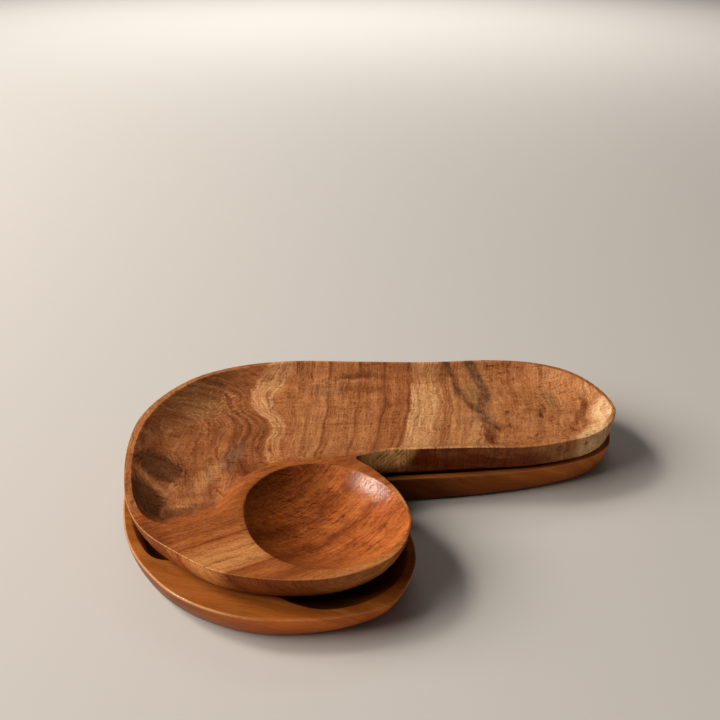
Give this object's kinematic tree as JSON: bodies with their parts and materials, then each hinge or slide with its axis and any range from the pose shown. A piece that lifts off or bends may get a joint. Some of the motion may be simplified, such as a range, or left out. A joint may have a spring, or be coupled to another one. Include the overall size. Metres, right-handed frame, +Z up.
{
  "type": "chip and dip server",
  "caption": "Stack of carved wooden servers, each a J-shaped board with a long chip tray along its arm and a round dip bowl in its front lobe.",
  "frame": {"origin": "on the surface the stack stands on, under the middle of its plan", "axes": "+X along the arm towards its free end, +Y away from the dip bowl towards the straight back, +Z up"},
  "size_m": [0.4246, 0.314, 0.0543],
  "materials": {
    "plain_wood": "oiled, satin to gloss, plain orange-brown grain",
    "figured_wood": "oiled, satin, strongly figured red-brown heartwood with pale sapwood"
  },
  "bodies": {
    "lower_board": {"lower_server": "plain_wood"},
    "upper_board": {"upper_server": "figured_wood"}
  },
  "joints": [
    {"name": "upper_lift", "type": "slide", "parent": "lower_board", "child": "upper_board", "axis": [0, 0, 1], "range_m": [0, 0.1]}
  ]
}
